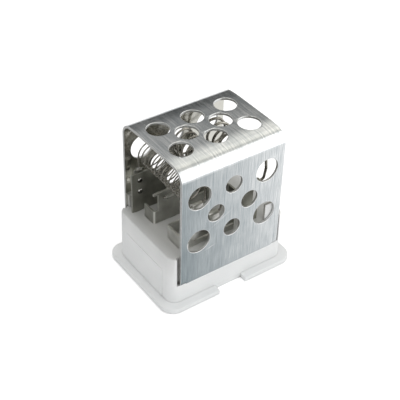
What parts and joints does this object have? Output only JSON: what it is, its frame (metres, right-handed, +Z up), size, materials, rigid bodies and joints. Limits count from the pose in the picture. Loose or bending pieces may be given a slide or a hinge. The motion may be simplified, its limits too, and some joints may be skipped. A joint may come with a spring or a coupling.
{
  "type": "blower motor resistor",
  "caption": "Heater blower resistor: wire coils on stamped terminals under a folded perforated aluminium guard, on a moulded base with a flange and a connector socket.",
  "frame": {"origin": "centre of the underside of the flange, on the surface that the part stands on", "axes": "+Z up from the flange towards the top of the guard, X along the open ends of the guard, Y across its two perforated sides"},
  "size_m": [0.0658, 0.0492, 0.0687],
  "materials": {
    "base_plastic": "fine moulded satin",
    "guard_aluminium": "brushed sheet",
    "resistance_wire": "drawn, slightly oxidised",
    "terminal_steel": "tin plated, dull",
    "clip_steel": "tin plated, bright",
    "rivet_steel": "plated",
    "solder": "satin solder",
    "cutoff_metal": "plated case",
    "seal_resin": "cast resin",
    "lead_copper": "tinned copper"
  },
  "bodies": {
    "root": {"base_housing": "base_plastic", "guard_cage": "guard_aluminium", "fine_coil": "resistance_wire", "medium_coil": "resistance_wire", "heavy_coil": "resistance_wire", "far_left_terminal": "terminal_steel", "far_right_terminal": "terminal_steel", "fuse_terminal": "terminal_steel", "near_left_terminal": "terminal_steel", "fuse_link": "terminal_steel", "fine_lead_clip": "clip_steel", "medium_lead_clip": "clip_steel", "heavy_lead_clip": "clip_steel", "clip_rivets": "rivet_steel", "solder_beads": "solder", "cutoff_case": "cutoff_metal", "cutoff_seal": "seal_resin", "cutoff_left_lead": "lead_copper", "cutoff_right_lead": "lead_copper"}
  },
  "joints": []
}
